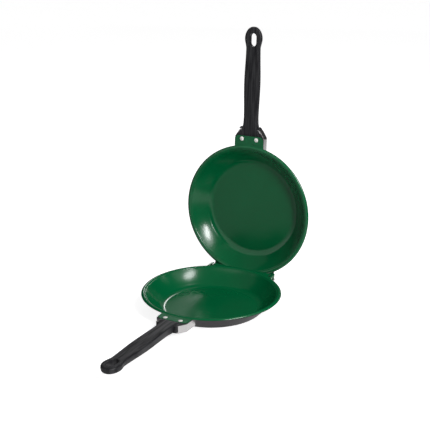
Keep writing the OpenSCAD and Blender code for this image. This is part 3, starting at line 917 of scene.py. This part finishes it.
def grip_body(s, t):
    """The handle's bar with its loop, its rounded top and underside, and the drawn-out flare."""
    half = grip_half(t)
    low, ledge = t.top - t.thick, t.top - t.flare_t
    under, over, shoulder = 3.8 * MM, 1.5 * MM, 3.2 * MM
    seam, bulge = low + 5.5 * MM, 1.02
    grip = chain("grip", at_height(half + [(0, -t.tip)] + [(-x, y) for x, y in reversed(half)],
                                   low + under))
    select_all()
    bpy.ops.mesh.edge_face_add()
    # the two halves of the mould meet at mid height, where the sides stand out a little
    for level, share in ((seam, bulge), (ledge, 1 / bulge), (t.top - over, 1)):
        height = max(v.co.z for v in bmesh.from_edit_mesh(grip.data).verts)
        extrude((0, 0, level - height))
        bpy.ops.transform.resize(value=(share, 1, 1), center_override=(0, -190 * MM, 0))
    outward()
    # the underside and the seam rise towards the loop
    root_x, root_y = half[0]
    for level, slope in ((low + under, t.taper), (seam, t.seam_taper)):
        pick("VERT", lambda v: abs(v.co.z - level) < NEAR)
        bpy.ops.transform.rotate(value=slope, orient_axis="X", orient_type="GLOBAL",
                                 center_override=(0, root_y, level))
    # the flare is drawn forward out of the top of the root, by its waist to the tab
    pick("FACE", lambda f: f.normal.y > 0.9 and f.calc_center_median().z > ledge)
    from_y, wide = root_y, root_x
    for y, x in ((-115 * MM, 13 * MM), (-(s.tab_end + 0.5 * MM), t.flare_half)):
        extrude((0, y - from_y, 0))
        bpy.ops.transform.resize(value=(x / wide, 1, 1), center_override=(0, y, t.top))
        from_y, wide = y, x
    domed(lambda f: f.normal.z > 0.9 and f.calc_center_median().z > t.top - over - NEAR,
          shoulder, over, 8)
    domed(lambda f: f.normal.z < -0.9 and len(f.verts) > 40, under, under, 7)
    outward()
    leave()
    return grip


def flare_wings(s, t):
    """The flare's thin wings, which lie on the strap and fill the tab's clipped corners."""
    clip_x, clip_y = s.tab_half - s.tab_clip, -(s.tab_end + 0.2 * MM)
    low, thick = t.strap_top + 0.05 * MM, 0.95 * MM
    right = [(clip_x, clip_y), (s.tab_half - 0.7 * MM, clip_y + s.tab_clip - 0.7 * MM),
             (s.tab_half - 0.3 * MM, -(t.strap_turn + 0.6 * MM)),
             (14.3 * MM, -(t.collar_front - 2.4 * MM)), (11 * MM, -118 * MM),
             (10 * MM, -122 * MM), (t.root_half - 0.2 * MM, -128 * MM)]
    wings = slab("wing", at_height(both_sides(right), low), (0, 0, thick))
    return soften(wings, SHEET_ROUND, 2, lambda e: sharp(e) and all(
        v.co.z > low + 0.9 * MM for v in e.verts))


def grip_collar(s, t):
    """The collar behind the strap, with rounded lower corners and a smaller front face."""
    low, high, corner = s.height - t.collar_low, t.top - 0.6 * MM, 3 * MM
    y = -t.collar_front - t.collar_t
    right = [(t.collar_half, high)]
    right += arc(t.collar_half - corner, low + corner, corner, 0, -90, 8)
    collar = slab("collar", [(x, y, z) for x, z in both_sides(right)], (0, t.collar_t, 0))
    enter(collar)
    pick("FACE", lambda f: f.normal.y < -0.9)
    bpy.ops.transform.resize(value=(0.86, 1, 0.9), center_override=(0, y, (low + high) / 2))
    leave()
    return soften(collar, 0.4 * MM, 3)


def hanging_hole(grip, t):
    """Cuts the long hole through the loop and rounds its edges."""
    low = t.top - t.thick
    right = arc(0, -t.hole_mid + t.hole_run, t.hole_half, 90, 0, 12)
    right += arc(0, -t.hole_mid - t.hole_run, t.hole_half, 0, -90, 12)
    cutter = slab("hole", at_height(both_sides(right), low - MM), (0, 0, t.thick + 2 * MM))
    combine(grip, cutter, "DIFFERENCE")
    reach_x, reach_y = t.hole_half + MM / 10, t.hole_half + t.hole_run + 0.5 * MM
    soften(grip, 1.3 * MM, 4, lambda e: sharp(e, 50) and not steep(e, MM) and all(
        abs(v.co.x) < reach_x and abs(v.co.y + t.hole_mid) < reach_y for v in e.verts))


class OBJECT_OT_flip_pan_grips(Operator):
    """Phenolic handle with flared top, collar and hanging loop"""
    bl_idname = "object.flip_pan_grips"
    bl_label = "Grips"

    def execute(self, context):
        s, t = pan(), handle()
        grip = grip_body(s, t)
        combine(grip, flare_wings(s, t), "UNION")
        combine(grip, grip_collar(s, t), "UNION")
        hanging_hole(grip, t)
        drill(grip, SCREW_HOLE_R, 18 * MM, at(0, -t.collar_front + MM, t.screw_z) @ AGAINST_Y)
        dress_pair(grip, "grip", "phenolic")
        return {"FINISHED"}


def screw_body(t):
    """The screw along Z: its rounded head below 0, its plain shank and its thread above.
    The thread shows only inside the bore, so it is plain rings of one pitch."""
    pitch, depth, corner, end = 0.7 * MM, 0.25 * MM, 0.9 * MM, 17 * MM
    profile = [(0, end), (t.screw_r - 0.5 * MM, end), (t.screw_r, 16.4 * MM)]
    for i in range(16):
        z = 16 * MM - i * pitch
        profile += [(t.screw_r, z), (t.screw_r - depth, z - pitch / 2)]
    profile += [(t.screw_r, 4 * MM), (t.screw_r, 0), (t.head_r, 0)]
    profile += arc(t.head_r - corner, -t.head_h + corner, corner, 0, -90, 6) + [(0, -t.head_h)]
    screw = turned("screw", profile, HOLE_STEPS)
    half_long, half_wide, deep = 1.7 * MM, 0.4 * MM, 1.2 * MM
    for turn in (0, pi / 2):
        outline = [(x * half_long, y * half_wide, -t.head_h - MM)
                   for x, y in ((-1, -1), (1, -1), (1, 1), (-1, 1))]
        slot = slab("slot", outline, (0, 0, MM + deep))
        combine(screw, moved(slot, Matrix.Rotation(turn, 4, "Z")), "DIFFERENCE")
    return screw


def split_washer(t):
    """A ring of spring steel with a slit of 12 degrees."""
    ring = [(SCREW_HOLE_R, -t.washer_t), (t.head_r, -t.washer_t), (t.head_r, -0.1 * MM),
            (SCREW_HOLE_R, -0.1 * MM), (SCREW_HOLE_R, -t.washer_t)]
    washer = turned("washer", ring, ROD_STEPS, radians(348))
    enter(washer)
    select_all()
    bpy.ops.mesh.fill_holes(sides=4)
    outward()
    leave()
    return soften(washer, 0.12 * MM)


def threaded_insert():
    """A brass bush with a groove each millimetre, which keys it into the moulding."""
    bore, outer, groove, grooves = 2.05, 3.2, 3.0, 12
    profile = [(bore, 0)]
    for i in range(grooves):
        profile += [(outer, 0.1 + i), (outer, 0.55 + i), (groove, 0.7 + i), (groove, 0.95 + i)]
    profile += [(bore, grooves), (bore, 0)]
    return turned("insert", [(r * MM, z * MM) for r, z in profile], HOLE_STEPS)


class OBJECT_OT_flip_pan_screws(Operator):
    """Handle screw with cross recess, spring washer and threaded insert"""
    bl_idname = "object.flip_pan_screws"
    bl_label = "Handle screws"

    def execute(self, context):
        t = handle()
        seat = -t.collar_front + t.strap_t + t.washer_t
        along = at(0, seat, t.screw_z) @ AGAINST_Y
        dress_pair(moved(screw_body(t), along), "screw", "bright_steel")
        washer = moved(split_washer(t), along @ at(0, 0, t.washer_t))
        dress_pair(washer, "spring_washer", "bright_steel")
        front = at(0, -t.collar_front - 1.2 * MM, t.screw_z) @ AGAINST_Y
        dress_pair(moved(threaded_insert(), front), "insert", "brass")
        return {"FINISHED"}


class OBJECT_OT_flip_pan_hinge(Operator):
    """Hinge rod through all four ears, with a push-on cap at each end"""
    bl_idname = "object.flip_pan_hinge"
    bl_label = "Hinge rod and caps"

    def execute(self, context):
        h = hinge()
        bevel, bore_r, dome_r = 0.3 * MM, h.rod_r + 0.02 * MM, 4 * MM
        start = h.outer + CAP_PLAY
        end = h.outer + CAP_PLAY + h.cap_t - 0.6 * MM
        place = at(0, h.rod_y, h.rod_z) @ ALONG_X
        rod = turned("hinge_rod_form", [
            (0, -end), (h.rod_r - bevel, -end), (h.rod_r, -end + bevel),
            (h.rod_r, end - bevel), (h.rod_r - bevel, end), (0, end)], ROD_STEPS)
        dress(moved(rod, place), "lower", "bright_steel")
        dome = arc(0, start + h.cap_t - dome_r, dome_r, 42, 90, 8)
        profile = [(0, end), (bore_r, end), (bore_r, start), (h.cap_r - 0.2 * MM, start),
                   (h.cap_r, start + 0.2 * MM)] + dome
        cap = turned("hinge_rod_caps_form", profile, ROD_STEPS)
        joined(cap, twin(cap, "cap", Matrix.Rotation(pi, 4, "X")))
        dress(moved(cap, place), "lower", "bright_steel")
        return {"FINISHED"}


# ---- stage

STUDIO_MIDDLE = Vector((0, 0.03, 0.1))
# name, azimuth and elevation in degrees, distance, width and height in metres, watts, and
# whether gloss shows the lamp
SOFTBOXES = (
    ("side box", 57, 32, 1.3, 0.15, 0.5, 6, True),
    ("side glow", 58, 36, 1.35, 0.34, 0.8, 4.5, True),
    ("overhead box", 88, 57, 1.4, 0.5, 0.24, 6, True),
    ("fill", 60, 42, 1.7, 1.0, 0.8, 3.6, False),
    ("back strip", -154, 23.5, 1.6, 0.14, 0.46, 1.4, True),
)
# the same, with the level that gloss sees
CARDS = (
    ("left card", -105, 24, 2.4, 2.9, 3.0, 0.0),
    ("right card", 49, 24, 2.4, 3.2, 2.8, 0.03),
    ("back card", -158, 22, 2.6, 1.6, 3.0, 0.3),
    ("ceiling card", 0, 90, 2.4, 3.2, 3.2, 0.15),
    ("corner card", -64, 52, 2.3, 1.3, 1.2, 0.2),
    ("front card", -30, 26, 2.2, 1.9, 1.9, 0.85),
    ("side card", 112, 8, 2.4, 2.6, 2.0, 0.05),
    ("rear card", 161, 22, 2.5, 1.9, 3.0, 0.05),
)
FLOOR_CAMERA_GLOW = 0.87
WORLD_LIGHT = 0.1


def aim(azimuth, elevation):
    """Unit vector towards a light or camera; azimuth 0 lies on -Y and grows towards +X."""
    a, e = radians(azimuth), radians(elevation)
    return Vector((sin(a) * cos(e), -cos(a) * cos(e), sin(e)))


def softbox(name, azimuth, elevation, distance, width, height, watts, glossy):
    """An area lamp that faces the middle of the object."""
    light = bpy.data.lights.new(name, "AREA")
    light.shape = "ELLIPSE"
    light.size = width
    light.size_y = height
    light.energy = watts
    lamp = bpy.data.objects.new(name, light)
    link(lamp)
    towards = aim(azimuth, elevation)
    lamp.location = STUDIO_MIDDLE + towards * distance
    lamp.rotation_euler = towards.to_track_quat("Z", "Y").to_euler()
    lamp.visible_camera = False
    lamp.visible_glossy = glossy


def card(name, azimuth, elevation, distance, width, height, level):
    """A studio card that only the gloss of the object sees, darker than the white around it."""
    clear_selection()
    bpy.ops.mesh.primitive_plane_add(size=1, location=(0, 0, 0))
    board = bpy.context.active_object
    board.name = name
    bpy.ops.object.mode_set(mode="EDIT")
    select_all()
    bpy.ops.transform.resize(value=(width, height, 1))
    bpy.ops.mesh.subdivide(number_cuts=1)
    leave()
    towards = aim(azimuth, elevation)
    moved(board, Matrix.Translation(STUDIO_MIDDLE + towards * distance)
          @ towards.to_track_quat("Z", "Y").to_matrix().to_4x4())
    material = bpy.data.materials.new(name)
    material.use_nodes = True
    show(material.node_tree, glow(material.node_tree, level))
    board.data.materials.append(material)
    for ray in ("camera", "diffuse", "transmission", "volume_scatter", "shadow"):
        setattr(board, "visible_" + ray, False)


def studio_floor():
    """Pale floor sheet: the camera sees it near white, and the object's shadow stays. Gloss sees
    a painted glow in place of a lit table: grey on the left, bright beside the pans and dark far
    out."""
    material, tree, shader, place = surface("pale studio floor")
    plug(tree, shader, Roughness=0.9, Specular_IOR_Level=0.1,
         Base_Color=shades(tree, noise(tree, place, 60), colours().floor, 0.985, 1))
    rays = node(tree, "ShaderNodeLightPath").outputs
    lit = glow(tree, sums(tree, "MULTIPLY", rays["Is Camera Ray"], FLOOR_CAMERA_GLOW))
    both = node(tree, "ShaderNodeAddShader", None, i0=shader.outputs[0], i1=lit).outputs[0]
    # painted reflection: glossy rays see the floor's own glow, set by X, brighter beside the pans
    # and darker to the left and far out
    x = node(tree, "ShaderNodeSeparateXYZ", None, Vector=place).outputs["X"]
    level = sums(tree, "MULTIPLY", ramp(tree, x, 0.42, 0.95, -0.08, 0.03, "SMOOTHSTEP"),
                 ramp(tree, x, 1, 0.12, 0.25, 0.5, "SMOOTHSTEP"))
    gloss = sums(tree, "MAXIMUM", rays["Is Glossy Ray"], rays["Is Transmission Ray"])
    show(tree, node(tree, "ShaderNodeMixShader", None, i0=gloss, i1=both,
                    i2=glow(tree, level)).outputs[0])
    return material


def studio_world():
    """White to the camera, and a plain grey level of light on the object."""
    world = bpy.data.worlds.new("studio")
    bpy.context.scene.world = world
    world.use_nodes = True
    tree = world.node_tree
    rays = node(tree, "ShaderNodeLightPath").outputs
    seen = sums(tree, "MAXIMUM", rays["Is Camera Ray"], rays["Is Glossy Ray"])
    seen = sums(tree, "MAXIMUM", seen, rays["Is Transmission Ray"])
    plug(tree, tree.nodes["Background"], Color=(1, 1, 1, 1),
         Strength=ramp(tree, seen, WORLD_LIGHT, 1, 0, 1))


def photo_camera():
    """The camera that the photograph's two rims give."""
    back, roll = aim(AZIMUTH, ELEVATION), radians(ROLL)
    right = Vector((0, 0, 1)).cross(back).normalized()
    up = back.cross(right)
    right, up = (right * cos(roll) + up * sin(roll),
                 up * cos(roll) - right * sin(roll))
    data = bpy.data.cameras.new("photo camera")
    data.sensor_width = 36
    data.lens = FOCAL_PX * data.sensor_width / PHOTO_SIZE_PX
    data.clip_start = 0.01
    camera = bpy.data.objects.new("photo camera", data)
    link(camera)
    # the solve has its origin in the middle of the lower rim
    place = (back * (DISTANCE * MM) - right * (SHIFT_X * MM) - up * (SHIFT_Y * MM)
             + Vector((0, 0, pan().height)))
    turn = Matrix((right, up, back)).transposed().to_4x4()
    camera.matrix_world = Matrix.Translation(place) @ turn
    bpy.context.scene.camera = camera


class OBJECT_OT_flip_pan_stage(Operator):
    """Floor, studio light and the photograph's camera"""
    bl_idname = "object.flip_pan_stage"
    bl_label = "Stage"

    def execute(self, context):
        clear_selection()
        bpy.ops.mesh.primitive_grid_add(x_subdivisions=8, y_subdivisions=8, size=8,
                                        location=(0, 0, 0))
        floor = context.active_object
        floor.name = "studio_floor"
        moved(floor, at(0, 0, -0.3 * MM))
        floor.data.materials.append(studio_floor())
        for lamp in SOFTBOXES:
            softbox(*lamp)
        for board in CARDS:
            card(*board)
        studio_world()
        photo_camera()
        context.scene.view_settings.view_transform = "Standard"
        return {"FINISHED"}


class VIEW3D_PT_flip_pan(Panel):
    """Lists the steps that build the pans"""
    bl_label = "Flip pan"
    bl_space_type = "VIEW_3D"
    bl_region_type = "UI"
    bl_category = "Flip pan"

    def draw(self, context):
        for step in STEPS:
            self.layout.operator(step.bl_idname)


STEPS = (
    OBJECT_OT_flip_pan_shells,
    OBJECT_OT_flip_pan_linings,
    OBJECT_OT_flip_pan_rivets,
    OBJECT_OT_flip_pan_saddles,
    OBJECT_OT_flip_pan_straps,
    OBJECT_OT_flip_pan_grips,
    OBJECT_OT_flip_pan_screws,
    OBJECT_OT_flip_pan_hinge,
    OBJECT_OT_flip_pan_stage,
)
GROUPS = {
    "flip_pan_sizes": PanSizes,
    "flip_pan_handle": HandleSizes,
    "flip_pan_hinge": HingeSizes,
    "flip_pan_colours": FinishColours,
}


def register():
    for kind in (*GROUPS.values(), *STEPS, VIEW3D_PT_flip_pan):
        bpy.utils.register_class(kind)
    for name, kind in GROUPS.items():
        setattr(bpy.types.Scene, name, PointerProperty(type=kind))


def unregister():
    for name in GROUPS:
        delattr(bpy.types.Scene, name)
    for kind in (VIEW3D_PT_flip_pan, *reversed(STEPS), *GROUPS.values()):
        bpy.utils.unregister_class(kind)


def main():
    register()
    for step in STEPS:
        family, call = step.bl_idname.split(".")
        getattr(getattr(bpy.ops, family), call)()


if __name__ == "__main__":
    main()
